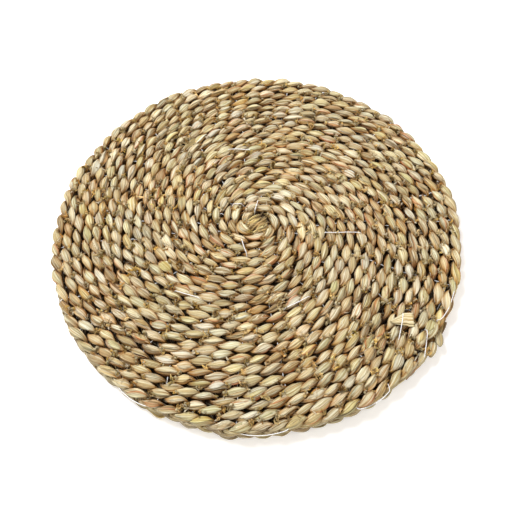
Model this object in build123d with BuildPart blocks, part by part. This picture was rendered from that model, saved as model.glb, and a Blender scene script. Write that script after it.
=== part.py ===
"""Round chair seat pad: one three-strand husk braid, stood on edge, coiled flat and sewn with thread.

Millimetres, +Z up, origin on the resting plane at the centre of the spiral.
A turn angle is counted in degrees along the whole spiral, anticlockwise seen from above, from the start.
"""
from build123d import *
from math import cos, degrees, floor, hypot, pi, radians, sin, sqrt, tan
import os

# The pad
pad_diameter = 380.0
pad_height = 19.0
turn_pitch = 8.95          # from one turn of the braid to the next, along a radius
turn_count = 19.5
end_direction = -46.0      # where the full-size braid ends, degrees from +X

# The braid
knot_spacing = 14.6        # from one knot to the next along the top edge
strand_names = "abc"
strand_diameter = 3.8
corner_radius = 5.0        # of the arcs that join a strand's straight runs
corner_cut = 0.55          # how far those arcs pass inside the corners of the route
splice_gap = 0.4           # between the ends of two strips of one strand
leaf_periods = 3           # periods of the braid that one husk strip lasts
leaves_per_length = 9      # strips grouped in one node

# The rim, which is kept nearly round beyond the braid's end by easing the last turns outwards
seam_ease = 0.8            # share of one pitch that the outermost turn is eased out by
seam_ramp = 20.0           # degrees over which the easing comes in, after the braid's end
seam_turns = 8.0           # turns over which the easing dies away inwards

# The thread
thread_diameter = 0.8
stitch_height = 14.6       # of the radial runs, just under the valleys between the turns
float_height = 12.4        # of the floats round the rim
stitch_directions = [2, 32, 69, 98, 122, 148, 177, 204, 233, 265, 294, 331]
stitch_span = 10.5         # degrees that each float covers

braid_period = knot_spacing * len(strand_names)
swing_height = (pad_height - strand_diameter) / 2 + corner_cut
swing_width = (turn_pitch - strand_diameter) / 2
mid_height = pad_height / 2
end_radius = pad_diameter / 2 - swing_width - strand_diameter / 2
start_radius = end_radius - turn_pitch * turn_count
radius_per_radian = turn_pitch / (2 * pi)
total_angle = 360 * turn_count
braid_length = (end_radius**2 - start_radius**2) / (2 * radius_per_radian)


def turn_radius(angle):
    """Radius of the braid's middle line at a turn angle."""
    beyond_end = (angle - total_angle) % 360
    ramp = min(beyond_end / seam_ramp, 1.0)
    ramp = ramp * ramp * (3 - 2 * ramp)
    depth = max(0.0, 1 - (total_angle - angle) / (360 * seam_turns))
    ease = seam_ease * depth * ramp * (1 - beyond_end / 360)
    return start_radius + turn_pitch * (angle / 360 + ease)


def angle_at(length):
    """Turn angle reached after a length of braid."""
    radius = sqrt(start_radius**2 + 2 * radius_per_radian * length)
    return degrees((radius - start_radius) / radius_per_radian)


def polar_point(radius, direction, height):
    """Point at a radius and a direction in degrees from +X."""
    return (radius * cos(radians(direction)), radius * sin(radians(direction)), height)


def braid_point(length, outwards, height):
    """Point beside the braid's middle line, after a length of braid."""
    angle = angle_at(length)
    direction = end_direction - total_angle + angle
    return polar_point(turn_radius(angle) + outwards, direction, mid_height + height)


def strand_vertex(step, strand):
    """Corner of a strand's route. Six steps make one period, and step 0 is a knot on the top edge."""
    length = (step / 6 + strand / len(strand_names)) * braid_period
    outwards = -swing_width * sin(radians(120 * step)) / sin(radians(60))
    return Vector(*braid_point(length, outwards, swing_height * cos(radians(60 * step))))


def corner_radii(points, largest):
    """Fillet radius at each inner corner, as large as its two runs allow, up to a limit."""
    arc_share = 0.45           # of a straight run that the arc at one end may use up
    radii = []
    for before, corner, after in zip(points, points[1:], points[2:]):
        run_in = Vector(*corner) - Vector(*before)
        run_out = Vector(*after) - Vector(*corner)
        half_turn = radians(run_in.get_angle(run_out)) / 2
        radii.append(min(largest, arc_share * min(run_in.length, run_out.length) / tan(half_turn)))
    return radii


def round_tube(points, diameter, largest_radius):
    """Round section swept along straight runs joined by arcs."""
    with BuildPart() as tube:
        with BuildLine() as route:
            FilletPolyline(*points, radius=corner_radii(points, largest_radius))
        with BuildSketch(Plane(origin=route.line @ 0, z_dir=route.line % 0)):
            Circle(diameter / 2)
        sweep()
    return tube.part


def husk_leaf(first, last, strand):
    """One husk strip of a strand, from half a step after one corner to half a step after another."""
    corners = [strand_vertex(step, strand) for step in range(first, last + 2)]
    start = (corners[0] + corners[1]) / 2
    finish = (corners[-2] + corners[-1]) / 2
    start += (corners[1] - corners[0]).normalized() * splice_gap / 2
    finish -= (corners[-1] - corners[-2]).normalized() * splice_gap / 2
    return round_tube([start, *corners[1:-1], finish], strand_diameter, corner_radius)


def save(shape, name):
    """Label one node and write its STEP file."""
    shape.label = name
    export_step(shape, f"parts/{name}.step")


def make_strand(strand):
    """All the husk strips of one strand, grouped into lengths. Splices of the three strands are staggered."""
    last_step = floor(6 * (braid_length / braid_period - strand / len(strand_names))) - 1
    first_cut = 6 * (leaf_periods - strand)
    # all three strands start together at the centre, a third of a period being two steps
    cuts = [-2 * strand, *range(first_cut, last_step, 6 * leaf_periods)]
    if last_step - cuts[-1] < 6:
        cuts.pop()
    cuts.append(last_step)
    leaves = [husk_leaf(first, last, strand) for first, last in zip(cuts, cuts[1:])]
    for number, index in enumerate(range(0, len(leaves), leaves_per_length), start=1):
        group = Compound(leaves[index:index + leaves_per_length])
        save(group, f"husk_strand_{strand_names[strand]}_{number:02d}")


def make_start_knot():
    """The folded strip ends at the centre, pressed flat underneath."""
    knot_length = 16.0
    knot_width = 13.0
    knot_height = 16.5
    top_radius = 2.5
    foot_chamfer = 0.8
    off_centre = (2.2, 0.4)
    with BuildPart() as start_knot:
        with BuildSketch(Plane.XY):
            with Locations(off_centre):
                Ellipse(knot_length / 2, knot_width / 2)
        extrude(amount=knot_height)
        fillet(start_knot.edges().group_by(Axis.Z)[-1], radius=top_radius)
        chamfer(start_knot.edges().group_by(Axis.Z)[0], length=foot_chamfer)
    save(start_knot.part, "start_knot")


def make_tail():
    """Three thin strand ends, twisted together beyond the end of the braid and tucked along the rim."""
    tail_gap = 1.4             # degrees from the end of the braid to the tail
    tail_reach = 14.5          # degrees
    steps = 8
    end_diameter = 2.3
    bend_radius = 6.0
    twist_per_step = 60        # degrees
    twist_radius = 1.5         # from the tail's middle line to each end's
    tightening = 0.1           # by which that radius shrinks towards the tip
    outwards_start = 0.6       # from the braid's middle line
    outwards_gain = 1.6
    drop_start = 1.5           # below the braid's middle line
    drop_gain = 3.5
    ends = []
    for strand in range(len(strand_names)):
        points = []
        for step in range(steps + 1):
            share = step / steps
            twist = radians(360 * strand / len(strand_names) + twist_per_step * step)
            spread = twist_radius - tightening * share
            radius = end_radius + outwards_start + outwards_gain * share + spread * cos(twist)
            height = mid_height - drop_start - drop_gain * share + spread * sin(twist)
            points.append(polar_point(radius, end_direction + tail_gap + share * tail_reach, height))
        ends.append(round_tube(points, end_diameter, bend_radius))
    save(Compound(ends), "braid_tail")


def make_tail_stitch():
    """Thread over the tail, from the valley inside it down to the rim."""
    stitch_direction = end_direction + 8.0
    bend_radius = 3.0
    # outwards from the braid's middle line, degrees round the pad, height above the floor
    route = [
        (-9.5, 1.5, pad_height - 5.0),
        (-6.5, 0.6, pad_height + 0.4),
        (-1.5, -1.8, pad_height - 1.0),
        (4.4, -3.8, mid_height + 1.0),
        (4.0, -4.8, mid_height - 5.5),
    ]
    points = [
        polar_point(end_radius + outwards, stitch_direction + turned, height)
        for outwards, turned, height in route
    ]
    save(round_tube(points, thread_diameter, bend_radius), "tail_stitch")


def make_stitch(direction, number):
    """One sewing stitch: out through every turn, a float round the rim and back to the centre."""
    rim = pad_diameter / 2 + 0.1
    float_steps = 4
    bend_radius = 30.0
    last_level = rim - 14.0    # radius beyond which the thread drops to the float's height
    inner = start_radius + turn_pitch
    points = [
        polar_point(inner, direction, stitch_height),
        polar_point(last_level, direction, stitch_height),
    ]
    for step in range(float_steps + 1):
        points.append(polar_point(rim, direction + stitch_span * step / float_steps, float_height))
    points.append(polar_point(last_level, direction + stitch_span, stitch_height))
    points.append(polar_point(inner, direction + stitch_span, stitch_height))
    save(round_tube(points, thread_diameter, bend_radius), f"sewing_stitch_{number:02d}")


def make_surface_floats():
    """Longer thread floats that lie on the knots of the top, each dipping into a valley at both ends."""
    floats = [
        ((62.0, -11.0), (96.5, -11.6)),
        ((24.5, -87.2), (46.0, -76.3)),
        ((-13.0, -17.3), (-8.0, -34.5)),
        ((-70.5, -70.5), (-47.5, -77.7)),
        ((-28.8, 86.4), (-5.8, 86.4)),
        ((-22.2, 20.2), (-12.4, 20.2)),
        ((2.3, 25.0), (-0.9, 12.4)),
    ]
    top = pad_height + thread_diameter / 2 + 0.1
    dip = 2.0                  # along the float, over which it drops into the valley
    low = pad_height - 4.0
    bend_radius = 3.0
    threads = []
    for (x_start, y_start), (x_finish, y_finish) in floats:
        length = hypot(x_finish - x_start, y_finish - y_start)
        along_x = (x_finish - x_start) / length
        along_y = (y_finish - y_start) / length
        points = [
            (x_start - dip * along_x, y_start - dip * along_y, low),
            (x_start + dip * along_x, y_start + dip * along_y, top),
            (x_finish - dip * along_x, y_finish - dip * along_y, top),
            (x_finish + dip * along_x, y_finish + dip * along_y, low),
        ]
        threads.append(round_tube(points, thread_diameter, bend_radius))
    save(Compound(threads), "surface_floats")


def make_folded_strip():
    """Loose husk strip, doubled flat on the top, from a narrow end to a square cut end."""
    strip_thickness = 0.7
    clearance = 0.05           # above the knots
    outline = [(111.7, -99.4), (121.3, -93.0), (132.5, -91.6), (131.2, -104.3), (121.5, -104.8)]
    with BuildPart() as folded_strip:
        with BuildSketch(Plane.XY.offset(pad_height + clearance)):
            with BuildLine():
                Polyline(*outline, close=True)
            make_face()
        extrude(amount=strip_thickness)
    save(folded_strip.part, "folded_strip")


def make_strip_stitch():
    """Thread that holds the folded strip down."""
    top = pad_height + 1.3
    low = pad_height - 4.0
    bend_radius = 2.5
    points = [
        (122.0, -89.5, low),
        (121.3, -92.6, top),
        (115.8, -114.5, top),
        (114.8, -118.0, low),
    ]
    save(round_tube(points, thread_diameter, bend_radius), "strip_stitch")


os.makedirs("parts", exist_ok=True)
for strand_index in range(len(strand_names)):
    make_strand(strand_index)
make_start_knot()
make_tail()
make_tail_stitch()
for stitch_number, stitch_direction in enumerate(stitch_directions, start=1):
    make_stitch(stitch_direction, stitch_number)
make_surface_floats()
make_folded_strip()
make_strip_stitch()
print(f"start radius {start_radius:.2f} mm, end radius {end_radius:.2f} mm, braid {braid_length:.0f} mm")
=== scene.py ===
"""Looks of the braided husk seat pad: every strip, thread and loose end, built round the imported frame."""
import math

import bpy
import numpy as np
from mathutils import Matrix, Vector


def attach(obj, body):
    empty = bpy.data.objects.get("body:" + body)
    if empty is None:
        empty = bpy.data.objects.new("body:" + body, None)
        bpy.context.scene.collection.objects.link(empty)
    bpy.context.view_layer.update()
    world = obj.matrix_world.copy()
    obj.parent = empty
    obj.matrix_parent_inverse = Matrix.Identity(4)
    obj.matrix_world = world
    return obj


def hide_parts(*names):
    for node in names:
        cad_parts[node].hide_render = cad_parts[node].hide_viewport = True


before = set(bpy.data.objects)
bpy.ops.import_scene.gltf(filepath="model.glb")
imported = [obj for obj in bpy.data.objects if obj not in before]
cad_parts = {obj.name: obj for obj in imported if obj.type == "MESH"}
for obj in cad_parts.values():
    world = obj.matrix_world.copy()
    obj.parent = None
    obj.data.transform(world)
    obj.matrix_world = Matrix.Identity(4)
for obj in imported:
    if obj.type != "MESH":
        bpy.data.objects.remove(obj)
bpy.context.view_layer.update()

MM = 0.001
TURN = 2 * math.pi
BODY = "root"
FLOOR_GAP = 0.00002        # metres kept clear under the lowest points

# The pad, as in the CAD model, in millimetres and degrees
PAD_RADIUS = 190.0
PAD_HEIGHT = 19.0
MID_HEIGHT = PAD_HEIGHT / 2
PITCH = 8.95
TURNS = 19.5
END_DIRECTION = -46.0
KNOT_SPACING = 14.6
STRANDS = "abc"
PERIOD = KNOT_SPACING * len(STRANDS)
LEAF_PERIODS = 3
LEAVES_PER_LENGTH = 9
END_RADIUS = PAD_RADIUS - PITCH / 2
START_RADIUS = END_RADIUS - PITCH * TURNS
PER_RADIAN = PITCH / TURN
TOTAL_ANGLE = 360 * TURNS
BRAID_LENGTH = (END_RADIUS**2 - START_RADIUS**2) / (2 * PER_RADIAN)
RIM_START = BRAID_LENGTH - TURN * END_RADIUS     # braid length at which the last turn begins
SEAM_EASE = 0.8
SEAM_RAMP = 20.0
SEAM_TURNS = 8.0
STITCH_DIRECTIONS = (2, 32, 69, 98, 122, 148, 177, 204, 233, 265, 294, 331)
STITCH_SPAN = 10.5
# Floats round the rim: start and end in degrees past the stitch, distance outside the last turn, height
RIM_FLOAT = (0.0, STITCH_SPAN, 5.8, 16.6)
OWN_RIM_FLOATS = {265: (-0.4, 12.9, 5.8, 16.6), 331: (-4.0, 8.8, 2.2, 19.6)}

# The braid's visible shape
SWING_HEIGHT = 6.8         # of a strand's middle line, up and down
SWING_WIDTH = 2.35         # of a strand's middle line, in and out
TIP_PHASE = 73.0           # degrees past a knot's crest where the strand lies furthest in or out
STEP_DEGREES = 15          # between the rings of a strip's mesh
AROUND = 28                # points round a strip
THIN_HALF_WIDTH = 1.5      # of a strip at a knot's tips
KNOT_HALF_WIDTH = 2.05     # added across a knot's middle
CREST_HALF_DEPTH = 2.6     # of a strip at a knot's crest
INNER_HALF_DEPTH = 0.85    # added half way down, inside the braid
PRESSED_HALF_WIDTH = 4.0   # of a strip on the underside
SPLICE_PHASE = 60          # degrees past a CAD strip's end where the visual one is spliced
LAP_BEFORE = 15            # degrees by which a strip starts before its splice
LAP_AFTER = 30             # degrees by which a strip runs on past its splice
RIM_INSET = 2.2            # from the pad's radius in to the rim's outer skin
LAYER_THICKNESS = 0.2      # of one layer of husk
THREAD_RADIUS = 0.34
FLOAT_RADIUS = 0.4         # of the thread where it lies on the knots
DIP_HEIGHT = 14.5          # at which such a thread goes down into a valley

# The fibre pattern's own units
GRAIN_LENGTH = 12          # millimetres of strip for one unit
GRAIN_RADIUS = 2.2         # units round a strip


# -------------------- the spiral

def stacked(*values):
    """Values that are broadcast against one another, as points or vectors."""
    return np.stack(np.broadcast_arrays(*values), axis=-1)


def smooth(share):
    """A share from 0 to 1, eased in and out."""
    return share * share * (3 - 2 * share)


def turn_radius(angle):
    """Radius of the braid's middle line at a turn angle, as in the CAD model."""
    beyond_end = np.mod(angle - TOTAL_ANGLE, 360)
    ramp = smooth(np.minimum(beyond_end / SEAM_RAMP, 1.0))
    depth = np.maximum(0.0, 1 - (TOTAL_ANGLE - angle) / (360 * SEAM_TURNS))
    ease = SEAM_EASE * depth * ramp * (1 - beyond_end / 360)
    return START_RADIUS + PITCH * (angle / 360 + ease)


def angle_at(length):
    """Turn angle reached after a length of braid."""
    radius = np.sqrt(np.maximum(1.0, START_RADIUS**2 + 2 * PER_RADIAN * length))
    return np.degrees((radius - START_RADIUS) / PER_RADIAN)


def soften(points):
    """Push the regular spiral slightly out of true, the same way for all that lies close together."""
    x, y, z = points[..., 0], points[..., 1], points[..., 2]
    direction = np.arctan2(y, x)
    share = np.hypot(x, y) / PAD_RADIUS
    oval = 1.2 * share**2 * np.cos(2 * direction - math.radians(95))
    shift_x = 0.55 * np.sin(x / 17 + 0.6) * np.cos(y / 23 + 1.1) + 0.45 * np.sin(y / 12 + x / 31)
    shift_y = 0.55 * np.sin(y / 19 + 2.0) * np.cos(x / 21 + 0.4) + 0.45 * np.sin(x / 13 - y / 37 + 1.0)
    lift = 0.35 * np.sin(x / 26 + y / 33 + 0.5) + 0.25 * np.sin(y / 15 - x / 41) - 0.2
    # the underside lies flat, so only the top rises and falls
    rise = lift * np.clip(z / PAD_HEIGHT, 0, 1)
    fade = np.clip(share * 4, 0, 1)
    # what would hang below the floor is pressed flat against it
    z = np.where(z < 0.5, 0.5 * np.exp(np.minimum(z - 0.5, 0) / 0.9), z)
    # the last turn rolls outwards a little at its foot
    lean = 0.3 * np.clip(share, 0, 1.05) ** 14 * (1 - z / MID_HEIGHT)
    oval = oval + lean
    # the spiral was started a little off the finished pad's middle
    inwards = np.clip(1 - share**2, 0, 1)
    return stacked(
        x + shift_x * fade + oval * np.cos(direction) - 2.4 * inwards,
        y + shift_y * fade + oval * np.sin(direction) + 1.2 * inwards,
        z + rise,
    )


def braid_point(length, outwards, height):
    """Points beside the braid's middle line, in millimetres."""
    angle = angle_at(length)
    direction = np.radians(END_DIRECTION - TOTAL_ANGLE + angle)
    radius = turn_radius(angle) + outwards
    return stacked(radius * np.cos(direction), radius * np.sin(direction), MID_HEIGHT + height)


def length_at(phase, strand):
    """Length of braid at which a strand reaches a phase in degrees."""
    return (phase / 360 + strand / len(STRANDS)) * PERIOD


def polar_point(radius, direction, height):
    """One point at a radius and a direction in degrees from +X."""
    turn = math.radians(direction)
    return np.array([radius * math.cos(turn), radius * math.sin(turn), height])


# -------------------- mesh tools

class Skin:
    """Gathers closed pieces of mesh, with a colour and a grain coordinate at every point."""

    def __init__(self):
        self.points, self.quads, self.tris, self.colours, self.grains = [], [], [], [], []
        self.count = 0

    def add(self, quads, tris, points, colours, grains):
        self.quads.append(np.asarray(quads, int).reshape(-1, 4) + self.count)
        self.tris.append(np.asarray(tris, int).reshape(-1, 3) + self.count)
        self.points.append(points)
        self.colours.append(colours)
        self.grains.append(grains)
        self.count += len(points)

    def add_rings(self, rings, colours, grains):
        """A closed tube through rings of points, capped at both ends."""
        steps, around = rings.shape[:2]
        index = np.arange(steps * around).reshape(steps, around)
        ahead = np.roll(index, -1, axis=1)
        quads = np.stack([index[:-1], ahead[:-1], ahead[1:], index[1:]], axis=-1).reshape(-1, 4)
        first, last = steps * around, steps * around + 1
        tris = np.concatenate([
            np.stack([np.full(around, first), ahead[0], index[0]], axis=-1),
            np.stack([np.full(around, last), index[-1], ahead[-1]], axis=-1),
        ])
        values = (rings, np.broadcast_to(colours, rings.shape), grains)
        self.add(quads, tris, *(
            np.concatenate([value.reshape(-1, 3), value[0].mean(0)[None], value[-1].mean(0)[None]])
            for value in values
        ))

    def add_sheet(self, grid, thickness, colours, grains):
        """A closed thin sheet: a grid of points, thickened along its normals."""
        rows, columns = grid.shape[:2]
        along = np.gradient(grid, axis=0)
        across = np.gradient(grid, axis=1)
        normal = np.cross(along, across)
        normal /= np.linalg.norm(normal, axis=-1, keepdims=True) + 1e-9
        upper = grid + normal * thickness / 2
        lower = grid - normal * thickness / 2
        index = np.arange(rows * columns).reshape(rows, columns)
        under = index + rows * columns
        quads = [
            np.stack([index[:-1, :-1], index[1:, :-1], index[1:, 1:], index[:-1, 1:]], -1).reshape(-1, 4),
            np.stack([under[:-1, :-1], under[:-1, 1:], under[1:, 1:], under[1:, :-1]], -1).reshape(-1, 4),
        ]
        edge = np.concatenate([index[0, :], index[1:, -1], index[-1, -2::-1], index[-2:0:-1, 0]])
        after = np.roll(edge, -1)
        quads.append(np.stack([edge, after, after + rows * columns, edge + rows * columns], -1))
        values = (np.broadcast_to(colours, grid.shape), np.broadcast_to(grains, grid.shape))
        self.add(
            np.concatenate(quads), [], np.concatenate([upper.reshape(-1, 3), lower.reshape(-1, 3)]),
            *(np.concatenate([value.reshape(-1, 3)] * 2) for value in values),
        )

    def finish(self, name, material, slot, replaced=()):
        """Make the object, give it its material, and put it on its body."""
        points = np.concatenate(self.points) * MM
        points[:, 2] = np.maximum(points[:, 2], FLOOR_GAP)
        quads = np.concatenate(self.quads)
        tris = np.concatenate(self.tris)
        mesh = bpy.data.meshes.new(name)
        mesh.vertices.add(len(points))
        mesh.vertices.foreach_set("co", points.astype(np.float32).ravel())
        corners = np.concatenate([quads.ravel(), tris.ravel()])
        sizes = np.concatenate([np.full(len(quads), 4), np.full(len(tris), 3)])
        mesh.loops.add(len(corners))
        mesh.loops.foreach_set("vertex_index", corners.astype(np.int32))
        mesh.polygons.add(len(sizes))
        starts = np.concatenate([[0], np.cumsum(sizes)[:-1]])
        mesh.polygons.foreach_set("loop_start", starts.astype(np.int32))
        mesh.update(calc_edges=True)
        mesh.shade_smooth()
        colours = np.concatenate([np.concatenate(self.colours), np.ones((len(points), 1))], axis=1)
        layer = mesh.color_attributes.new("husk_colour", "FLOAT_COLOR", "POINT")
        layer.data.foreach_set("color", colours.astype(np.float32).ravel())
        grain = mesh.attributes.new("grain", "FLOAT_VECTOR", "POINT")
        grain.data.foreach_set("vector", np.concatenate(self.grains).astype(np.float32).ravel())
        mesh.materials.append(material)
        piece = bpy.data.objects.new(name, mesh)
        bpy.context.scene.collection.objects.link(piece)
        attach(piece, BODY)
        if replaced:
            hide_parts(*replaced)
        return piece


def fibre_places(along, theta, radius=GRAIN_RADIUS):
    """Coordinates for the fibre pattern: along a strip or thread, and round it."""
    return stacked(along, radius * np.cos(theta), radius * np.sin(theta))


def unit(vectors):
    return vectors / (np.linalg.norm(vectors, axis=-1, keepdims=True) + 1e-12)


def frames_along(route):
    """Tangent, outward side and upper side at each point of a route."""
    tangent = unit(np.gradient(route, axis=0))
    side = unit(np.cross(tangent, [0.0, 0.0, 1.0]))
    return tangent, side, np.cross(side, tangent)


def wander(rng, places, spacing, size):
    """Smooth random values at places, with one free value at every spacing."""
    first = math.floor(places.min() / spacing)
    values = rng.normal(0, size, int((places.max() / spacing) - first) + 3)
    share = places / spacing - first
    index = np.floor(share).astype(int)
    share = smooth(share - index)
    return values[index] * (1 - share) + values[index + 1] * share


def distances(route):
    """Distance along a route at each of its points."""
    gaps = np.linalg.norm(np.diff(route, axis=0), axis=1)
    return np.concatenate([[0], np.cumsum(gaps)])


def ring_angles(count):
    """Even angles round a strip or a thread."""
    return np.linspace(0, TURN, count, endpoint=False)[None, :]


def ring_points(route, side, upper, across, above):
    """Rings of points round a route, at distances across it and above it."""
    return route[:, None, :] + side[:, None, :] * across[..., None] + upper[:, None, :] * above[..., None]


def linear(red, green, blue):
    """A display colour, 0 to 255, as linear light."""
    value = np.array([red, green, blue]) / 255
    return np.where(value <= 0.04045, value / 12.92, ((value + 0.055) / 1.055) ** 2.4)

# Colours of single features, and of what stands among the knots
WHITE = (1, 1, 1, 1)
STREAK = linear(233, 229, 206)
WARM_PATCH = linear(184, 140, 78)
RUST_STAIN = linear(196, 112, 46)
RUST_EDGE = linear(214, 120, 30)
SPECK = linear(96, 62, 30)
STUB = linear(238, 228, 184)
PALE_FIBRE = linear(238, 230, 206)
STRAY_FIBRE = linear(232, 222, 190)
STRAW = linear(226, 206, 156)
FLAP = linear(232, 216, 168)
FLAT_END = linear(216, 206, 166)
HOLLOW_END = linear(214, 192, 142)
# the inner roll of a hollow end, painted dark brown as shade inside the hollow
HOLLOW_CORE_SHADE = linear(182, 142, 90)
END_FIBRE = linear(206, 176, 124)
FOLDED_STRIP = linear(224, 213, 172)
THREAD_DULL = linear(222, 222, 224)
THREAD_LIGHT = linear(247, 247, 246)


# -------------------- materials

class Nodes:
    """Short forms for building a node tree."""

    def __init__(self, name):
        self.material = bpy.data.materials.new(name)
        self.material.use_nodes = True
        self.tree = self.material.node_tree
        self.shader = self.tree.nodes["Principled BSDF"]

    def fill(self, node, sockets):
        """Set inputs of a node, each to a constant or to another node's output."""
        for name, value in sockets.items():
            if isinstance(value, bpy.types.NodeSocket):
                self.tree.links.new(value, node.inputs[name])
            else:
                node.inputs[name].default_value = value
        return node

    def new(self, kind, sockets, **settings):
        node = self.tree.nodes.new(kind)
        for key, value in settings.items():
            setattr(node, key, value)
        return self.fill(node, sockets)

    def attribute(self, name, output):
        return self.new("ShaderNodeAttribute", {}, attribute_name=name).outputs[output]

    def scaled(self, vector, factors):
        return self.new("ShaderNodeVectorMath", {0: vector, 1: factors}, operation="MULTIPLY").outputs[0]

    def noise(self, vector, scale, detail=2.0, roughness=0.5):
        sockets = {"Vector": vector, "Scale": scale, "Detail": detail, "Roughness": roughness}
        return self.new("ShaderNodeTexNoise", sockets).outputs["Fac"]

    def span(self, value, low, high, to_low=0.0, to_high=1.0):
        sockets = {"Value": value, "From Min": low, "From Max": high, "To Min": to_low, "To Max": to_high}
        return self.new("ShaderNodeMapRange", sockets).outputs["Result"]

    def mix(self, factor, first, second, blend="MIX"):
        sockets = {0: factor, 6: first, 7: second}
        return self.new("ShaderNodeMix", sockets, data_type="RGBA", blend_type=blend).outputs[2]

    def bump(self, height, strength, distance, below=None):
        sockets = {"Height": height, "Strength": strength, "Distance": distance}
        if below is not None:
            sockets["Normal"] = below
        return self.new("ShaderNodeBump", sockets).outputs["Normal"]


def husk_material():
    """Dried husk: strip colour painted into the mesh, with its painted shade and painted highlight, long
    fibre streaks, fine ribs, rare rust stains and a dry sheen.
    """
    nodes = Nodes("husk")
    colour = nodes.attribute("husk_colour", "Color")
    grain = nodes.attribute("grain", "Vector")
    streaks = nodes.noise(nodes.scaled(grain, (0.3, 1.0, 1.0)), 1.6, 3.0, 0.65)
    ribs = nodes.noise(nodes.scaled(grain, (0.15, 1.0, 1.0)), 2.5, 2.0, 0.55)
    fibres = nodes.noise(nodes.scaled(grain, (0.4, 1.0, 1.0)), 8.0, 2.0, 0.6)
    stains = nodes.noise(nodes.scaled(grain, (0.25, 1.0, 1.0)), 1.1)
    specks = nodes.noise(grain, 9.0)
    tan = nodes.mix(nodes.span(streaks, 0.40, 0.56, 0.75, 0.0), WHITE, (0.72, 0.56, 0.36, 1))
    darker = nodes.mix(1.0, colour, tan, "MULTIPLY")
    lighter = nodes.mix(nodes.span(streaks, 0.54, 0.66, 0.0, 0.6), darker, (*STREAK, 1))
    lined = nodes.mix(nodes.span(ribs, 0.37, 0.46, 0.66, 0.0), WHITE, (0.5, 0.33, 0.17, 1))
    ribbed = nodes.mix(1.0, lighter, lined, "MULTIPLY")
    rusty = nodes.mix(nodes.span(stains, 0.67, 0.74, 0.0, 0.6), ribbed, (*RUST_STAIN, 1))
    thin = nodes.mix(nodes.span(fibres, 0.34, 0.6, 0.3, 0.0), WHITE, (0.6, 0.45, 0.28, 1))
    fibred = nodes.mix(1.0, rusty, thin, "MULTIPLY")
    speckled = nodes.mix(nodes.span(specks, 0.68, 0.78, 0.0, 0.5), fibred, (*SPECK, 1))
    coarse = nodes.bump(streaks, 0.6, 0.0012)
    middle = nodes.bump(nodes.span(ribs, 0.34, 0.56), 0.7, 0.0006, coarse)
    nodes.fill(nodes.shader, {
        "Base Color": speckled,
        "Roughness": nodes.span(streaks, 0.3, 0.7, 0.6, 0.45),
        "Normal": nodes.bump(fibres, 0.5, 0.0003, middle),
        "Specular IOR Level": 0.18,
        "Sheen Weight": 0.02,
    })
    return nodes.material


def thread_material():
    """White sewing thread, two plies, slightly greyed."""
    nodes = Nodes("thread")
    grain = nodes.attribute("grain", "Vector")
    lint = nodes.noise(grain, 3.0, 2.0, 0.6)
    shade = nodes.mix(nodes.span(lint, 0.3, 0.7), (*THREAD_DULL, 1), (*THREAD_LIGHT, 1))
    relief = nodes.bump(lint, 0.3, 0.0002)
    nodes.fill(nodes.shader, {"Base Color": shade, "Normal": relief, "Roughness": 0.6, "Sheen Weight": 0.2})
    return nodes.material


def floor_material():
    """Plain pale floor with a barely visible mottle, which glows faintly outside the pad's footprint."""
    nodes = Nodes("floor")
    place = nodes.new("ShaderNodeTexCoord", {}).outputs["Object"]
    mottle = nodes.noise(place, 6.0, 3.0, 0.5)
    shade = nodes.mix(nodes.span(mottle, 0.3, 0.7), (0.86, 0.86, 0.86, 1), (0.89, 0.89, 0.89, 1))
    from_middle = nodes.new("ShaderNodeVectorMath", {0: place}, operation="LENGTH").outputs["Value"]
    glow = nodes.span(from_middle, 0.165, 0.19, 0.0, 0.3)
    nodes.fill(nodes.shader, {
        "Base Color": shade, "Roughness": 0.8, "Emission Color": WHITE, "Emission Strength": glow,
    })
    return nodes.material


# -------------------- husk colours

HUSK_TONES = [
    # share, display colour
    (0.26, (220, 204, 158)),    # straw
    (0.26, (227, 215, 177)),    # pale straw
    (0.14, (232, 227, 203)),    # bleached cream
    (0.13, (204, 180, 128)),    # tan
    (0.05, (182, 148, 94)),     # brown
    (0.05, (224, 208, 146)),    # yellow
    (0.07, (204, 199, 153)),    # greenish
    (0.04, (214, 212, 188)),    # grey-green
]


def husk_tone(rng):
    """One strip's own colour."""
    shares = np.array([share for share, _ in HUSK_TONES])
    pick = rng.choice(len(HUSK_TONES), p=shares / shares.sum())
    hue = np.array([0.98 + rng.normal(0, 0.018), 1.01, 0.98 + min(rng.normal(0, 0.15), 0.09)])
    return linear(*HUSK_TONES[pick][1]) * rng.uniform(0.86, 1.12) * hue


# -------------------- the strands

def from_crest(phase):
    """Degrees from the nearest knot's crest, top or bottom, from -90 to 90."""
    return np.mod(phase + 90, 180) - 90


def swing(phase):
    """Share of the full swing outwards: a knot runs straight from the outer side to the inner one."""
    away = from_crest(phase)
    over = np.sin(np.radians(90 * away / TIP_PHASE))
    back = np.cos(np.radians(90 * (np.abs(away) - TIP_PHASE) / (90 - TIP_PHASE)))
    return -np.where(np.abs(away) <= TIP_PHASE, over, np.sign(away) * back)


def breadth(phase):
    """Share of a knot's full width: pointed at its tips, and broader again inside the braid."""
    from_top = from_crest(phase)
    away = np.abs(from_top)
    # a knot narrows faster past its crest than before it
    sharpness = np.where(from_top < 0, 1.0, 1.6)
    knot = np.cos(np.radians(90 * np.minimum(away, TIP_PHASE) / TIP_PHASE)) ** sharpness
    inside = 1.4 * np.sin(np.radians(90 * np.maximum(away - TIP_PHASE, 0) / (90 - TIP_PHASE)))
    return np.where(away <= TIP_PHASE, knot, inside)


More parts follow.
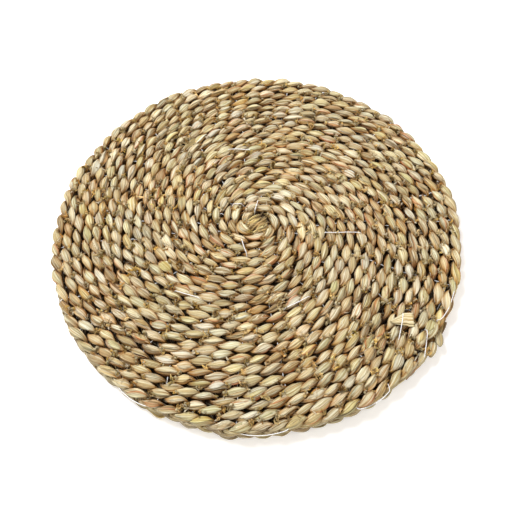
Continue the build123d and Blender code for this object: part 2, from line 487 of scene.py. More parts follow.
def painted_depth_light(points, colours):
    """Painted light by depth: what lies on the pad's surface is mixed a little towards grey as a painted
    highlight tint, and what lies down in the gaps is painted brown, then dark, as painted shade.
    """
    depth = np.minimum(PAD_HEIGHT - points[..., 2], points[..., 2])
    depth = np.minimum(depth, PAD_RADIUS - RIM_INSET - np.hypot(points[..., 0], points[..., 1]))
    shown = smooth(np.clip(1.08 - depth / 3.6, 0, 1)[..., None])
    deep = np.clip((depth - 2.3) / 2.6, 0, 1)[..., None]
    # painted shade: browner, then dark, with depth below the pad's top, its underside and its rim
    painted_gap_shade = colours * np.array([0.90, 0.50, 0.13]) * (1 - 0.86 * deep)
    # painted highlight tint: the exposed surface is mixed a little towards grey
    grey = colours.mean(axis=-1, keepdims=True) * np.array([1.0, 1.0, 0.94])
    painted_highlight_tint = 0.77 * colours + 0.23 * grey
    return np.clip(painted_highlight_tint * shown + painted_gap_shade * (1 - shown), 0, 1)


class Strip:
    """One husk strip between two phases of the braid, in degrees: its route and its outer surface.

    Phase 0 is a knot on the top edge, and one knot of this strand follows every 360 degrees.
    """

    def __init__(self, rng, strand, start, finish):
        self.rng = rng
        self.phase = np.arange(start, finish + 1e-6, STEP_DEGREES, dtype=float)
        self.set_route(strand)
        self.set_size(start, finish)
        self.set_facets()
        self.add_ribs()
        self.add_layer_edges()
        self.add_fold()

    def vary(self, spacing, size):
        """Smooth random values along the strip, a free one at every spacing in degrees."""
        return wander(self.rng, self.phase, spacing, size)

    def set_route(self, strand):
        """The middle line, over and under the other two strands."""
        turn = np.radians(self.phase)
        self.length = length_at(self.phase, strand) + self.vary(150, 1.1)
        outwards = SWING_WIDTH * swing(self.phase) + self.vary(120, 0.36)
        rise = np.sign(np.cos(turn)) * np.abs(np.cos(turn)) ** 0.8
        self.route = braid_point(self.length, outwards, SWING_HEIGHT * rise + self.vary(140, 0.35))
        _, self.side, self.upper = frames_along(self.route)

    def set_size(self, start, finish):
        """Half sizes across and upwards, all along the strip."""
        turn = np.radians(self.phase)
        uneven = 1 + self.vary(130, 0.11) + self.vary(45, 0.06)
        half_width = (THIN_HALF_WIDTH + KNOT_HALF_WIDTH * breadth(self.phase)) * uneven
        half_depth = CREST_HALF_DEPTH + INNER_HALF_DEPTH * np.sin(turn) ** 2
        half_depth = half_depth * (1 + self.vary(130, 0.08))
        # the lower half is pressed broad, so the turns close against each other, but not at the rim
        pressed = np.clip(-2 * np.cos(turn), 0, 1) * (self.length < RIM_START)
        half_width = np.maximum(half_width, PRESSED_HALF_WIDTH * pressed)
        # a strip thins out where it is spliced into its neighbour
        ends = np.minimum(self.phase - start, finish - self.phase)
        thin = 0.55 + 0.45 * np.clip(ends / 30, 0, 1)
        self.half_width = half_width * thin
        self.half_depth = half_depth * thin

    def set_facets(self):
        """The outline, as a share of the half size: husk creases into flat facets."""
        self.theta = ring_angles(AROUND)
        self.roll = np.radians(self.vary(260, 30))[:, None] + self.rng.uniform(0, TURN)
        facets = self.rng.integers(4, 7)
        crook = np.radians(self.vary(220, 14))[:, None]
        from_edge = np.mod(self.theta + self.roll * 0.6 + crook, TURN / facets) - math.pi / facets
        flatness = np.clip(0.78 + self.vary(160, 0.2), 0.3, 1.1)[:, None]
        self.profile = 1 + flatness * (1 / np.cos(from_edge) - 1) - 0.06

    def add_ribs(self):
        """Coarse and fine ribs along the strip, with sharp grooves between them."""
        self.groove = np.zeros_like(self.profile)
        for ribs, size in ((self.rng.integers(4, 7), 0.09), (self.rng.integers(9, 12), 0.10)):
            strength = size * (1 + self.vary(90, 0.6))[:, None]
            wave = np.abs(np.cos(ribs / 2 * (self.theta + self.roll * 0.6) + self.rng.uniform(0, 6.28)))
            self.profile += strength * (wave ** 0.6 - 0.7)
            # the grooves are kept as a mask for painted shade
            self.groove = np.maximum(self.groove, (1 - wave) ** 2 * np.clip(strength / size, 0, 1.4))

    def add_layer_edges(self):
        """Free edges of the rolled husk layers, which lie on the surface as steps, with a line of painted
        shade at each step's foot.
        """
        self.step_shade = np.zeros_like(self.profile)
        self.layer = np.zeros_like(self.profile)
        for rise, place in ((0.2, 0.0), (0.15, self.rng.uniform(2.0, 4.2))):
            drift = np.radians(self.vary(200, 16))[:, None]
            seam = np.mod(self.theta + self.roll + drift + place, TURN) / TURN
            self.profile += rise * (seam - 0.5)
            self.step_shade = np.maximum(self.step_shade, np.exp(-((seam - 0.025) / 0.03) ** 2))
            self.layer += seam > 0.5

    def add_fold(self):
        """A deep fold on some knots."""
        away = np.mod(self.theta + self.roll * 0.8 + 2.2, TURN) - math.pi
        fold = np.exp(-(away / 0.2) ** 2)
        self.fold = fold * np.clip(self.vary(150, 0.2), -0.02, 0.34)[:, None]
        self.profile -= self.fold

    def profile_at(self, rows, theta):
        """The outline's share of the half size at any angle."""
        place = theta / TURN * AROUND
        low = np.floor(place).astype(int) % AROUND
        share = place - np.floor(place)
        own = self.profile[rows]
        line = np.arange(len(rows))[:, None]
        return own[line, low] * (1 - share) + own[line, (low + 1) % AROUND] * share

    def surface(self, rows, theta, profile, lift=0.0):
        """Points at angles round the strip. The section is a lens, sharper at its two sides."""
        crown = np.sign(np.sin(theta)) * np.abs(np.sin(theta)) ** 1.2
        across = self.half_width[rows][:, None] * np.cos(theta) * profile + np.cos(theta) * lift
        above = self.half_depth[rows][:, None] * crown * profile + np.sin(theta) * lift
        return ring_points(self.route[rows], self.side[rows], self.upper[rows], across, above)

    def grain(self, rows, theta, offset):
        """Where each point lies in the fibre pattern."""
        along = (self.length[rows] / GRAIN_LENGTH)[:, None]
        return fibre_places(along, theta + 0.6 * self.roll[rows]) + offset

    def add_body(self, skin, tone, second_tone):
        """The rolled strip itself."""
        rows = np.arange(len(self.phase))
        theta = np.broadcast_to(self.theta, self.profile.shape)
        points = soften(self.surface(rows, theta, self.profile))
        # painted highlight on bulging ridges and facet corners and painted shade in grooves and folds, from
        # the outline's bulge, over a random change of tone
        shade = 1 + self.vary(110, 0.10)[:, None] + 0.8 * (self.profile - 1)
        colours = np.where((self.layer == 1)[..., None], second_tone, tone) * shade[..., None]
        warm = np.clip(self.vary(200, 0.4), 0, 1)[:, None, None]
        colours = colours * (1 - 0.45 * warm) + WARM_PATCH * 0.45 * warm
        # the foot of each layer's step, the grooves and the folds are painted darker and browner: painted
        # shade
        line = 0.6 * self.step_shade + 0.42 * self.groove + 2.2 * np.clip(self.fold, 0, 1)
        colours = colours * (1 - np.clip(line, 0, 0.8))[..., None] ** np.array([0.8, 1.0, 1.3])
        grains = self.grain(rows, theta, self.rng.uniform(0, 100, 3))
        # painted shade down in the gaps and a painted highlight tint on the surface
        skin.add_rings(points, painted_depth_light(points, colours), grains)

    def add_leaf(self, skin, centre, top, tone):
        """An outer husk layer over one knot, pointed at both ends, with one edge a little loose."""
        rng = self.rng
        reach = rng.integers(3, 6)
        rows = np.arange(centre - reach, centre + reach + 1)
        if rows[0] < 1 or rows[-1] > len(self.phase) - 2:
            return
        along = np.linspace(-1, 1, len(rows))[:, None]
        beside = np.linspace(-1, 1, 7)[None, :]
        half = rng.uniform(0.6, 1.3) * (1 - 0.95 * along**2) ** 0.8
        middle = (0.5 if top else 1.5) * math.pi + rng.uniform(-0.75, 0.75) + rng.uniform(-0.5, 0.5) * along
        theta = np.mod(middle + half * beside, TURN)
        loose = rng.choice([-1, 1]) * rng.uniform(0.4, 1)
        rise = rng.choice([0.5, 1.0, 1.9], p=[0.4, 0.35, 0.25])
        lift = rng.uniform(0.2, 0.42) + rise * np.clip(beside * loose, 0, 1) ** 2 * (1 - along**2)
        points = soften(self.surface(rows, theta, self.profile_at(rows, theta), lift))
        # painted shade: the leaf darker towards its ends and at its edges, over a random change of tone
        shade = (1 + 0.09 * rng.normal(0, 1, beside.shape)) * (1 - 0.12 * np.abs(along))
        colours = tone * shade[..., None] * (1 - 0.3 * np.abs(beside) ** 6)[..., None]
        if rng.random() < 0.14:
            rust = np.clip(beside * np.sign(loose) - 0.5, 0, 1) * 1.9
            colours = colours * (1 - rust[..., None]) + RUST_EDGE * rust[..., None]
        grains = self.grain(rows, theta, rng.uniform(0, 100, 3))
        # painted shade down in the gaps and a painted highlight tint on the surface
        skin.add_sheet(points, LAYER_THICKNESS, painted_depth_light(points, colours), grains)


def strip_cuts(strand):
    """Phases at which one strip of a strand gives way to the next, as in the CAD model."""
    last_step = math.floor(6 * (BRAID_LENGTH / PERIOD - strand / len(STRANDS))) - 1
    steps = [0, *range(6 * (LEAF_PERIODS - strand), last_step, 6 * LEAF_PERIODS)]
    if last_step - steps[-1] < 6:
        steps.pop()
    return [60 * step for step in [*steps, last_step]]


def add_curl(skin, rng, foot, axis, size, reach, tone):
    """One small rolled flap of cut husk, hollow, painted darker towards its foot as shade."""
    axis = unit(axis)
    first = unit(np.cross(axis, rng.normal(0, 1, 3)))
    second = np.cross(axis, first)
    span = rng.uniform(1.6, 4.2)
    rows, columns = 4, 7
    along = np.linspace(0, 1, rows)[:, None]
    turn = np.linspace(0, span, columns)[None, :]
    ragged = 0.2 * np.sin(turn * rng.uniform(0.6, 1.6) + rng.uniform(0, 6))
    ragged = ragged + rng.uniform(-0.14, 0.14, columns)
    rise = along * reach * (1 + ragged * along)
    radius = size * (0.7 + 0.4 * along) * (1 + 0.1 * turn) * (1 + rng.normal(0, 0.07, (rows, columns)))
    bend = unit(rng.normal(0, 1, 3)) * rng.uniform(0, 0.45)
    grid = (
        foot + axis * rise[..., None]
        + first * (radius * np.cos(turn))[..., None] + second * (radius * np.sin(turn))[..., None]
        + bend * (along**2 * reach * np.ones_like(turn))[..., None]
    )
    grain = stacked(rise / GRAIN_LENGTH + rng.uniform(0, 99), turn * size, 0.0)
    # painted shade: darker towards the foot
    colours = tone * (0.45 + 0.65 * along)[..., None] * rng.uniform(0.8, 1.15)
    skin.add_sheet(grid, LAYER_THICKNESS, np.broadcast_to(np.clip(colours, 0, 1), grid.shape), grain)


def add_sliver(skin, rng, foot, heading, reach, width, tone):
    """One loose thin fibre of husk, curved, pointed at its free end."""
    share = np.linspace(0, 1, 5)[:, None]
    drop = unit(rng.normal(0, 1, 3)) * reach * rng.uniform(0.1, 0.5)
    route = foot + unit(heading) * share * reach + drop * share**2
    across = unit(np.cross(heading, rng.normal(0, 1, 3)))
    half = width / 2 * (1 - 0.75 * share**2)
    grid = np.stack([route - across * half, route, route + across * half], axis=1)
    grain = stacked(share * reach / GRAIN_LENGTH, grid[..., 0], grid[..., 1])
    skin.add_sheet(grid, 0.8 * LAYER_THICKNESS, tone, grain)


def add_stubs(skin, rng, foot, up):
    """One or two short pale rolled ends that stand in a valley."""
    pale = STUB * rng.uniform(0.7, 1.0)
    for _ in range(rng.integers(1, 3)):
        away = rng.normal(0, 1, 3) * np.array([1.3, 1.3, 0.2])
        lean = unit(up + rng.normal(0, 0.35, 3))
        route = foot + away + lean * np.linspace(-1.8, rng.uniform(1.8, 3.2), 5)[:, None]
        half_width = rng.uniform(0.8, 1.25) * np.array([0.8, 1.0, 1.0, 1.05, 0.85])
        add_rolled(skin, rng, route, half_width, 0.8 * half_width, pale, 10)


def add_tuft(skin, rng, foot, up, size=1.0):
    """The crumpled cut end of a strip, in a valley: pointed flaps, rolled stubs and fibres."""
    tone = husk_tone(rng) * rng.choice([0.5, 0.8, 1.1], p=[0.35, 0.4, 0.25]) * np.array([1.08, 0.86, 0.55])
    for _ in range(rng.integers(1, 4)):
        away = rng.normal(0, 1, 3) * np.array([1.2, 1.2, 0.4]) * size
        width = rng.choice([0.5, 0.8, 1.2, 1.7], p=[0.3, 0.3, 0.3, 0.1]) * size
        reach = rng.uniform(1.6, 3.0) * size
        axis = up + rng.normal(0, 0.5, 3)
        add_curl(skin, rng, foot + away, axis, width, reach, tone * rng.uniform(0.7, 1.3))
    if rng.random() < 0.55:
        add_stubs(skin, rng, foot, up)
    for _ in range(rng.integers(3, 7)):
        away = rng.normal(0, 0.8, 3) * np.array([1.0, 1.0, 0.4]) * size
        pale = PALE_FIBRE if rng.random() < 0.22 else tone * rng.uniform(0.8, 1.7)
        lean = up + rng.normal(0, 0.8, 3)
        add_sliver(skin, rng, foot + away, lean, rng.uniform(2.0, 4.6), rng.uniform(1.0, 2.6) * size, pale)


def add_cut_end(skin, rng, strand, phase, top):
    """The cut end of a strip, left standing in the valley beside a knot."""
    length = length_at(phase, strand)
    outwards = rng.choice([-1, 1]) * rng.uniform(3.0, 4.5)
    # round the rim they stand only on its inner side
    if length > RIM_START:
        outwards = -abs(outwards)
    height = rng.uniform(6.4, 8.4) if top else -rng.uniform(4.5, 6.0)
    foot = soften(braid_point(length, outwards, height))
    size = rng.choice([0.9, 1.2, 1.5], p=[0.35, 0.4, 0.25]) if top else 0.8
    add_tuft(skin, rng, foot, np.array([0, 0, 1.0 if top else -0.6]), size)


def add_stray(skin, rng, strand, phase):
    """A loose pale fibre that lies over the knots."""
    foot = soften(braid_point(length_at(phase, strand), rng.uniform(-3, 3), PAD_HEIGHT - MID_HEIGHT))
    turn = rng.uniform(0, TURN)
    heading = np.array([math.cos(turn), math.sin(turn), rng.uniform(-0.1, 0.15)])
    add_sliver(skin, rng, foot, heading, rng.uniform(3, 10), rng.uniform(0.35, 0.8), STRAY_FIBRE)


def add_strip(skin, rng, strand, start, finish):
    """One strip of a strand with its outer layers, and the cut ends and stray fibres along it."""
    tone, second = husk_tone(rng), husk_tone(rng)
    # the splice lies half way down the inner side, under the next strand's knot
    first = start + SPLICE_PHASE - LAP_BEFORE if start > 0 else -360 * strand / len(STRANDS) - 45
    strip = Strip(rng, strand, first, finish + SPLICE_PHASE + LAP_AFTER)
    strip.add_body(skin, tone, tone * 0.5 + second * 0.5)
    for row in np.flatnonzero(np.mod(strip.phase, 180) == 0):
        top = strip.phase[row] % 360 == 0
        for chance in ((0.85, 0.5) if top else (0.4,)):
            if rng.random() < chance:
                blend = rng.uniform(0.2, 1.0)
                strip.add_leaf(skin, row, top, tone * (1 - blend) + husk_tone(rng) * blend)
    add_cut_end(skin, rng, strand, start + rng.choice([55, -55]), True)
    for crest in np.arange(math.ceil(start / 360), finish / 360):
        if rng.random() < 0.62:
            add_cut_end(skin, rng, strand, 360 * crest + rng.choice([-1, 1]) * rng.uniform(45, 80), True)
        if rng.random() < 0.09:
            add_stray(skin, rng, strand, 360 * crest)
    if rng.random() < 0.7:
        add_cut_end(skin, rng, strand, start + 180, False)


def make_strands(material):
    """All strips of the three strands, one piece for each CAD node."""
    for strand, letter in enumerate(STRANDS):
        cuts = strip_cuts(strand)
        strips = list(zip(cuts, cuts[1:]))
        for number, index in enumerate(range(0, len(strips), LEAVES_PER_LENGTH), start=1):
            skin = Skin()
            rng = np.random.default_rng(1000 * strand + number)
            for start, finish in strips[index:index + LEAVES_PER_LENGTH]:
                add_strip(skin, rng, strand, start, finish)
            name = f"husk_strand_{letter}_{number:02d}"
            skin.finish(f"braided_{name}", material, f"husk_strand_{letter}", (name,))


# -------------------- thread

def add_thread(skin, points, radius=THREAD_RADIUS):
    """Two-ply twisted thread along a route of points."""
    points = np.asarray(points, float)
    reach = distances(points)
    places = np.arange(0, reach[-1], 0.8)
    route = np.stack([np.interp(places, reach, points[:, k]) for k in range(3)], axis=-1)
    for _ in range(2):
        route[1:-1] = (route[:-2] + 2 * route[1:-1] + route[2:]) / 4
    _, side, upper = frames_along(route)
    theta = ring_angles(6)
    twist = (places * TURN / 2.6)[:, None]
    swell = radius * (0.82 + 0.18 * np.abs(np.cos(theta - twist)))
    rings = ring_points(route, side, upper, swell * np.cos(theta), swell * np.sin(theta))
    skin.add_rings(rings, np.ones(3), fibre_places(places[:, None], theta, 1.0))


def row_radii(direction):
    """Radii at which the spiral's turns cross one direction, from the centre out."""
    first = (direction - (END_DIRECTION - TOTAL_ANGLE)) % 360
    return turn_radius(np.arange(first, TOTAL_ANGLE, 360))


def radial_run(rng, direction, outward):
    """Route of the thread through all turns: down inside each braid and up in each valley."""
    rows = row_radii(direction)
    radii = np.arange(rows[0] + PITCH, rows[-1] + 2, 0.75)
    row = np.searchsorted(rows, radii)
    nearest = np.abs(radii[:, None] - rows[None, :]).min(axis=1)
    rise = rng.choice([-0.4, 1.2, 2.4, 3.2], len(rows) + 1, p=[0.42, 0.2, 0.23, 0.15])[row]
    height = 13.6 + rise * np.clip(nearest / (PITCH / 2), 0, 1) ** 2
    sway = np.degrees(wander(rng, radii, 21, 1.5) / np.maximum(radii, 30))
    points = [polar_point(r, direction + s, z) for r, s, z in zip(radii, sway, height)]
    return soften(np.array(points if outward else points[::-1]))


def make_stitches(material):
    """The twelve sewing stitches, each out to the rim, round it for a little way and back."""
    for number, direction in enumerate(STITCH_DIRECTIONS, start=1):
        rng = np.random.default_rng(500 + number)
        first, last, outwards, top = OWN_RIM_FLOATS.get(direction, RIM_FLOAT)
        rim = []
        for share in np.linspace(0, 1, 15):
            here = direction + first + (last - first) * share
            outside = math.sin(math.pi * share) ** 0.2
            radius = row_radii(here)[-1] - 1.0 + (outwards + 1.0) * outside
            height = top - 0.9 * math.sin(math.pi * share)
            rim.append(polar_point(radius, here, height))
        out = radial_run(rng, direction + first, True)
        back = radial_run(rng, direction + last, False)
        skin = Skin()
        add_thread(skin, np.concatenate([out, soften(np.array(rim)), back]))
        name = f"sewing_stitch_{number:02d}"
        skin.finish(f"thread_{name}", material, "thread", (name,))


# -------------------- ends, floats and the loose strip

def beside_rim(outwards, direction, height):
    """One point beside the last turn's middle line."""
    return soften(polar_point(END_RADIUS + outwards, direction, height))


def add_rolled(skin, rng, route, half_width, half_depth, tone, around=20):
    """A ribbed, rolled strip along any route, with half sizes given at every point of it."""
    route = np.asarray(route, float)
    _, side, upper = frames_along(route)
    reach = distances(route)
    theta = ring_angles(around)
    wave = np.abs(np.cos(2.5 * theta + reach[:, None] * 0.08 + rng.uniform(0, 6)))
    seam = np.mod(theta + rng.uniform(0, 6), TURN) / TURN
    profile = 1 + 0.14 * (np.sqrt(wave) - 0.7) + 0.22 * (seam - 0.5) + wander(rng, reach, 3, 0.05)[:, None]
    across = half_width[:, None] * profile * np.cos(theta)
    above = half_depth[:, None] * profile * np.sin(theta)
    # painted shade: the foot of the seam's step and the grooves between ribs darker, over a random change of
    # tone round the strip
    line = np.clip(0.6 * np.exp(-((seam - 0.03) / 0.04) ** 2) + 0.35 * (1 - wave) ** 2, 0, 0.8)
    colours = tone * (1 - line)[..., None] * (1 + 0.1 * rng.normal(0, 1, (1, around, 1)))
    grains = fibre_places((reach / GRAIN_LENGTH)[:, None] + rng.uniform(0, 99), theta)
    skin.add_rings(ring_points(route, side, upper, across, above), np.clip(colours, 0, 1), grains)


BUNDLE_MIDDLE = np.array([-1.4, -0.4, 0.0])
BUNDLE_ALONG = np.array([0.8, 0.6, 0.0])
BUNDLE_OVER = np.array([-0.6, 0.8, 0.0])
UP = np.array([0, 0, 1.0])


def in_bundle(along, over, height):
    """A point in the start bundle, from its middle: along its strips, over them, and its height."""
    return BUNDLE_MIDDLE + BUNDLE_ALONG * along + BUNDLE_OVER * over + UP * height


def add_bundle_strips(skin, rng):
    """Rolled strips side by side in four layers, which rise to the pad's top."""
    steps = np.linspace(-1, 1, 15)
    # strips, height, brightness (painted light: the two low layers painted dark as shade, the top layer
    # painted brighter), least and most half width, half depth
    layers = (
        (4, 3.4, 0.3, 2.0, 2.6, 2.6), (4, 9.0, 0.3, 2.0, 2.6, 2.6),
        (9, 15.0, 1.0, 0.8, 1.35, 1.3), (8, 18.0, 1.6, 0.8, 1.35, 1.3),
    )
    for count, level, painted_brightness, narrow, broad, deep in layers:
        loose = level > 16
        for place in np.linspace(-1, 1, count) + rng.normal(0, 0.04, count):
            half_length = 9.4 * math.sqrt(max(0.2, 1 - 0.5 * place**2))
            half_length *= rng.uniform(0.5, 1) if loose else 1
            offset = in_bundle(rng.uniform(-3, 3) if loose else 0, place * 7.8, 0)
            height = level + rng.uniform(-0.8, 0.8)
            bow = 0.9 * (1 - steps**2) - 0.5 * abs(place)
            route = offset + BUNDLE_ALONG * (steps * half_length)[:, None] + UP * (height + bow)[:, None]
            route += BUNDLE_OVER * wander(rng, steps * half_length, 5, 0.6)[:, None]
            thin = np.sqrt(1 - 0.75 * steps**2)
            # the tone carries the layer's painted light and shade
            tone = STRAW * rng.uniform(0.55, 1.25) * painted_brightness * np.array([1.03, 0.95, 0.82])
            add_rolled(skin, rng, route, rng.uniform(narrow, broad) * thin, deep * thin, tone)


def add_bundle_ends(skin, rng):
    """Cut ends and fibres that stand up among the start bundle's strips."""
    for _ in range(22):
        place = rng.uniform(-1, 1, 2)
        foot = in_bundle(place[0] * 8.0, place[1] * 7.2, rng.uniform(15.6, 17.6))
        lean = np.array([0.4, 0.3, 1.0]) + rng.normal(0, 0.55, 3)
        tone = STRAW * rng.uniform(0.5, 1.1) * np.array([1.0, 0.88, 0.66])
        add_curl(skin, rng, foot, lean, rng.uniform(0.6, 1.4), rng.uniform(1.5, 3.0), tone)
    for _ in range(34):
        place = rng.uniform(-1, 1, 2)
        foot = in_bundle(place[0] * 8.5, place[1] * 7.4, rng.uniform(17.6, 19.6))
        heading = BUNDLE_ALONG * rng.choice([-1, 1]) + rng.normal(0, 0.3, 3) * np.array([1, 1, 0.5])
        tone = STRAW * rng.uniform(0.6, 1.25) * np.array([1.0, rng.uniform(0.88, 1), rng.uniform(0.75, 1)])
        add_sliver(skin, rng, foot, heading, rng.uniform(3, 7), rng.uniform(0.7, 1.7), tone)


def add_bundle_flaps(skin, rng):
    """Broad ragged flaps at the right of the bundle, and the braid's own cut ends at its upper left."""
    flaps = (
        ((6.3, -4.5), 2.1), ((7.0, -8.6), 1.9), ((3.8, 4.6), 1.6),
        ((-8.2, 9.8), 1.7), ((-6.0, 11.4), 1.3), ((-9.8, 8.0), 1.4), ((-7.4, 8.0), 1.2),
    )
    for place, size in flaps:
        foot = np.array([*place, 15.4])
        lean = np.array([0.15, -0.1, 1.0]) + rng.normal(0, 0.2, 3)
        add_curl(skin, rng, foot, lean, size, rng.uniform(3.2, 4.4), FLAP * rng.uniform(0.75, 1.0))
        for _ in range(7):
            start = foot + rng.normal(0, 1.1, 3) + np.array([0, 0, 1.5])
            axis = lean + rng.normal(0, 0.4, 3)
            radius, reach = rng.uniform(0.4, 0.9), rng.uniform(1.2, 2.6)
            tone = STRAW * rng.uniform(0.4, 1.0) * np.array([1.0, 0.86, 0.64])
            add_curl(skin, rng, start, axis, radius, reach, tone)


def make_start_bundle(material):
    """The strips' first ends at the centre: a doubled-over bundle, cut and frayed on top."""
    rng = np.random.default_rng(71)
    skin = Skin()
    add_bundle_strips(skin, rng)
    add_bundle_ends(skin, rng)
    add_bundle_flaps(skin, rng)
    skin.finish("husk_start_bundle", material, "husk_ends", ("start_knot",))


def add_tail_strands(skin, rng):
    """The three thin strand ends, loosely twisted round one another along the rim."""
    share = np.linspace(0, 1, 40)
    for strand in range(len(STRANDS)):
        tone = husk_tone(rng) * np.array([0.98, 0.96, 0.88])
        route = []
        for part in share:
            turn = math.radians(360 * strand / len(STRANDS) + 400 * part)
            spread = 2.7 - 1.9 * part
            radius = END_RADIUS - 0.2 + 1.9 * part + spread * math.cos(turn)
            height = MID_HEIGHT - 0.2 - 3.6 * part + 1.25 * spread * math.sin(turn)
            route.append(polar_point(radius, END_DIRECTION - 4.5 + 20.5 * part, height))
        route = soften(np.array(route))
        size = (3.5 - 2.6 * share**2) * (1 + wander(rng, share * 60, 7, 0.12))
        # painted shade down in the gaps and a painted highlight tint on the surface
        colours = painted_depth_light(route, tone)[:, None, :]
        add_rolled(skin, rng, route, size, size * 0.72, colours, 28)


def add_flat_ends(skin, rng):
    """Flattened strip ends that overlap like tiles along the rim."""
    steps = np.linspace(-1, 1, 15)
    thin = (1 - 0.8 * np.abs(steps) ** 2.5) ** 0.8
    places = ((2.4, -43.5, 12.0, 8), (3.6, -39.5, 11.0, 20), (2.8, -36.0, 12.6, 35))
    for outwards, direction, height, turned in places:
        heading = unit(polar_point(1.0, direction + 90 + turned, -0.12))
        route = beside_rim(outwards, direction, height) + heading * (steps * 8.2)[:, None]
        route = route - UP * (1.6 * steps**2)[:, None]
        add_rolled(skin, rng, route, 3.5 * thin, 1.5 * thin, FLAT_END * rng.uniform(0.8, 1.05), 28)


def add_hollow_ends(skin, rng):
    """Hollow rolled ends where the full-size strips were cut."""
    places = (
        (0.6, -47.0, 12.2, 2.3, 100), (-2.6, -46.5, 10.6, 1.9, 80), (2.8, -46.0, 8.4, 1.7, 90),
        (-6.2, -39.0, 15.4, 1.9, 200), (-3.6, -38.0, 14.6, 1.6, 170),
    )
    for outwards, direction, height, size, turned in places:
        foot = beside_rim(outwards, direction, height)
        axis = polar_point(1.0, direction + turned, 0.35)
        add_curl(skin, rng, foot, axis, size, rng.uniform(4.0, 5.4), HOLLOW_END)
        # the inner roll is painted darker brown: painted shade inside the hollow
        add_curl(skin, rng, foot, axis, size * 0.62, rng.uniform(3.6, 4.8), HOLLOW_CORE_SHADE)
        for _ in range(3):
            add_sliver(skin, rng, foot, axis + rng.normal(0, 0.4, 3), rng.uniform(3, 6), 1.0, END_FIBRE)


def add_crushed_ends(skin, rng):
    """Crushed ends between the tail and the turn inside it."""
    places = (
        (-1.0, -36.5, 14.5), (-5.5, -40.0, 15.5), (-4.0, -42.5, 14.5),
        (-6.0, -44.0, 15.0), (-3.0, -46.5, 14.0), (0.5, -41.0, 13.5),
    )
    for place in places:
        add_tuft(skin, rng, beside_rim(*place), np.array([0.2, -0.2, 1.0]), 1.4)


def make_tail(material):
    """The braid's last strips, tucked along the rim, and the cut ends round them."""
    rng = np.random.default_rng(72)
    skin = Skin()
    add_tail_strands(skin, rng)
    add_flat_ends(skin, rng)
    add_hollow_ends(skin, rng)
    add_crushed_ends(skin, rng)
    skin.finish("husk_braid_tail", material, "husk_ends", ("braid_tail",))


def make_surface_floats(material):
    """Thread floats that lie on the knots, dipping into a valley at both ends."""
    floats = [
        ((62.0, -11.0), (96.5, -11.6)),
        ((24.5, -87.2), (46.0, -76.3)),
        ((-13.0, -17.3), (-8.0, -34.5)),
        ((-70.5, -70.5), (-47.5, -77.7)),
        ((-28.8, 86.4), (-5.8, 86.4)),
        ((-22.2, 20.2), (-12.4, 20.2)),
        ((2.3, 25.0), (-0.9, 12.4)),
    ]
    rng = np.random.default_rng(73)
    skin = Skin()
    for start, finish in floats:
        start, finish = np.array(start), np.array(finish)
        reach = np.linalg.norm(finish - start)
        ahead = (finish - start) / reach
        sideways = np.array([-ahead[1], ahead[0]])
        share = np.linspace(0, 1, 12)[:, None]
        flat = start + 1.5 * ahead + (finish - start - 3 * ahead) * share
        flat += sideways * 0.012 * reach * np.sin(share * math.pi) * rng.uniform(-1, 1)
        height = 19.9 + 0.3 * np.sin(share * 9 + rng.uniform(0, 6))
        over = np.concatenate([flat, height], axis=1)
        dips = [[*(start - 1.5 * ahead), DIP_HEIGHT], [*(finish + 1.5 * ahead), DIP_HEIGHT]]
        add_thread(skin, soften(np.array([dips[0], *over, dips[1]])), FLOAT_RADIUS)
    skin.finish("thread_surface_floats", material, "thread", ("surface_floats",))


def make_tail_stitch(material):
    """The thread that goes over the tail and down its outer side."""
    skin = Skin()
    # outwards from the last turn's middle line, degrees past the tail's middle, and height
    route = [(-9.5, 1.5, 14.0), (-7.4, 0.8, 19.2), (-5.4, -0.1, 18.8), (-3.4, -1.4, 17.4), (-0.6, -2.9, 16.2),
             (2.4, -4.5, 14.2), (5.0, -5.8, 10.8), (4.2, -6.4, 5.0)]
    middle = END_DIRECTION + 8.0
    points = [beside_rim(outwards, middle + turned, height) for outwards, turned, height in route]
    add_thread(skin, points, FLOAT_RADIUS)
    skin.finish("thread_tail_stitch", material, "thread", ("tail_stitch",))


def make_folded_strip(material):
    """The ribbed strip doubled flat on the knots: pointed at one end, square-cut at the other."""
    rng = np.random.default_rng(74)
    skin = Skin()
    rows, columns = 26, 33
    along = np.linspace(0, 1, rows)[:, None]
    beside = np.linspace(-1, 1, columns)[None, :]
    width = 2.0 + 11.0 * np.minimum(1, along * 1.35) ** 0.9
    # the fold runs along the inner edge; the lower layer reaches further out than the upper one
    open_width = np.where(beside < 0, 0.86, 1.0) * np.abs(beside)
    ends = 0.5 * rng.normal(0, 1, (1, columns))
    ragged = ends * np.clip((along - 0.9) * 10, 0, 1)
    x = 111.7 + 20.4 * along + ragged + 0.9 * np.abs(beside) * (1 - along) * 3
    y = -99.9 + 8.1 * np.minimum(1, along * 1.5) - width * open_width
    gap = 0.75 * np.sqrt(np.clip(1 - (1 - np.minimum(np.abs(beside) / 0.12, 1)) ** 2, 0, 1))
    ribs = 0.07 * np.abs(np.sin(beside * 19)) + 0.3 * np.sin(along * 4 + 1)
    z = 20.2 + np.where(beside < 0, gap, -0.35 * gap) + ribs
    grid = soften(stacked(x, y, z))
    # painted shade: the rib grooves 10% darker, over a random change of tone across the strip
    stripe = 1 - 0.1 * (np.abs(np.sin(beside * 19)) < 0.3) + 0.05 * rng.normal(0, 1, (1, columns))
    colours = FOLDED_STRIP * (stripe * (1 - 0.15 * (along > 0.93)))[..., None]
    grain = stacked(along * 1.4, beside * 3.0, 0.0)
    skin.add_sheet(grid, 0.3, np.clip(colours, 0, 1), grain)
    skin.finish("husk_folded_strip", material, "husk_strip", ("folded_strip",))


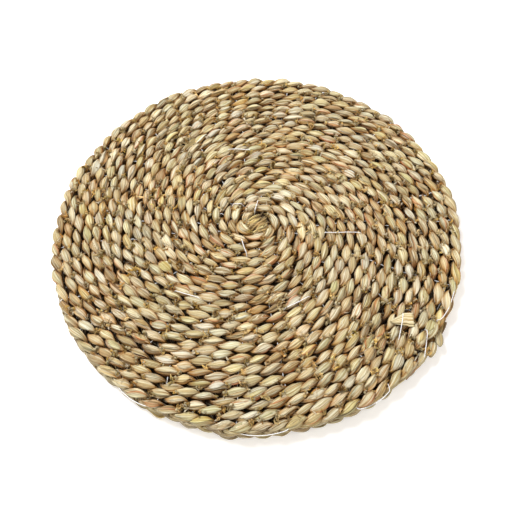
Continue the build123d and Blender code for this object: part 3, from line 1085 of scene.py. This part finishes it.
def make_strip_stitch(material):
    """The thread that holds the folded strip down."""
    skin = Skin()
    points = [(124.6, -90.4, DIP_HEIGHT), (124.4, -91.9, 19.8), (123.7, -94.6, 21.4),
              (122.4, -99.4, 21.6), (121.1, -104.2, 21.3), (120.0, -108.2, 20.2),
              (118.2, -114.6, 19.5), (117.3, -118.0, DIP_HEIGHT)]
    add_thread(skin, soften(np.array(points)), FLOAT_RADIUS)
    skin.finish("thread_strip_stitch", material, "thread", ("strip_stitch",))


# -------------------- camera, light and floor

def make_stage():
    """Plain pale floor and soft studio light."""
    bpy.ops.mesh.primitive_plane_add(size=8, location=(0, 0, -0.0002))
    floor = bpy.context.object
    floor.name = "floor"
    floor.data.materials.append(floor_material())

    world = bpy.data.worlds.new("studio")
    bpy.context.scene.world = world
    world.use_nodes = True
    background = world.node_tree.nodes["Background"].inputs
    background["Color"].default_value = (1.03, 0.935, 0.81, 1)
    background["Strength"].default_value = 0.635

    for name, place, size, power in (
        ("key", (-0.7, 0.55, 1.5), 0.6, 37.8),
        ("fill", (0.7, -1.0, 1.3), 1.2, 7.0),
    ):
        light = bpy.data.lights.new(name, "AREA")
        light.size = size
        light.energy = power
        light.color = (0.92, 0.965, 1.03)
        lamp = bpy.data.objects.new(name, light)
        lamp.location = place
        lamp.rotation_euler = (-Vector(place)).to_track_quat("-Z", "Y").to_euler()
        bpy.context.scene.collection.objects.link(lamp)


def make_camera():
    """Camera above the front of the pad, looking down at the middle of its underside."""
    elevation = math.radians(58.3)
    distance = 3.0785 * PAD_RADIUS * MM
    data = bpy.data.cameras.new("camera")
    data.lens = 43.2
    data.sensor_width = 36
    data.shift_x = -0.0043
    data.shift_y = -0.043
    camera = bpy.data.objects.new("camera", data)
    camera.location = (0, -distance * math.cos(elevation), distance * math.sin(elevation))
    camera.rotation_euler = (math.pi / 2 - elevation, 0, 0)
    bpy.context.scene.collection.objects.link(camera)
    bpy.context.scene.camera = camera
    bpy.context.scene.view_settings.view_transform = "Standard"


make_camera()
make_stage()
husk = husk_material()
thread = thread_material()
make_strands(husk)
make_stitches(thread)
make_start_bundle(husk)
make_tail(husk)
make_surface_floats(thread)
make_tail_stitch(thread)
make_folded_strip(husk)
make_strip_stitch(thread)
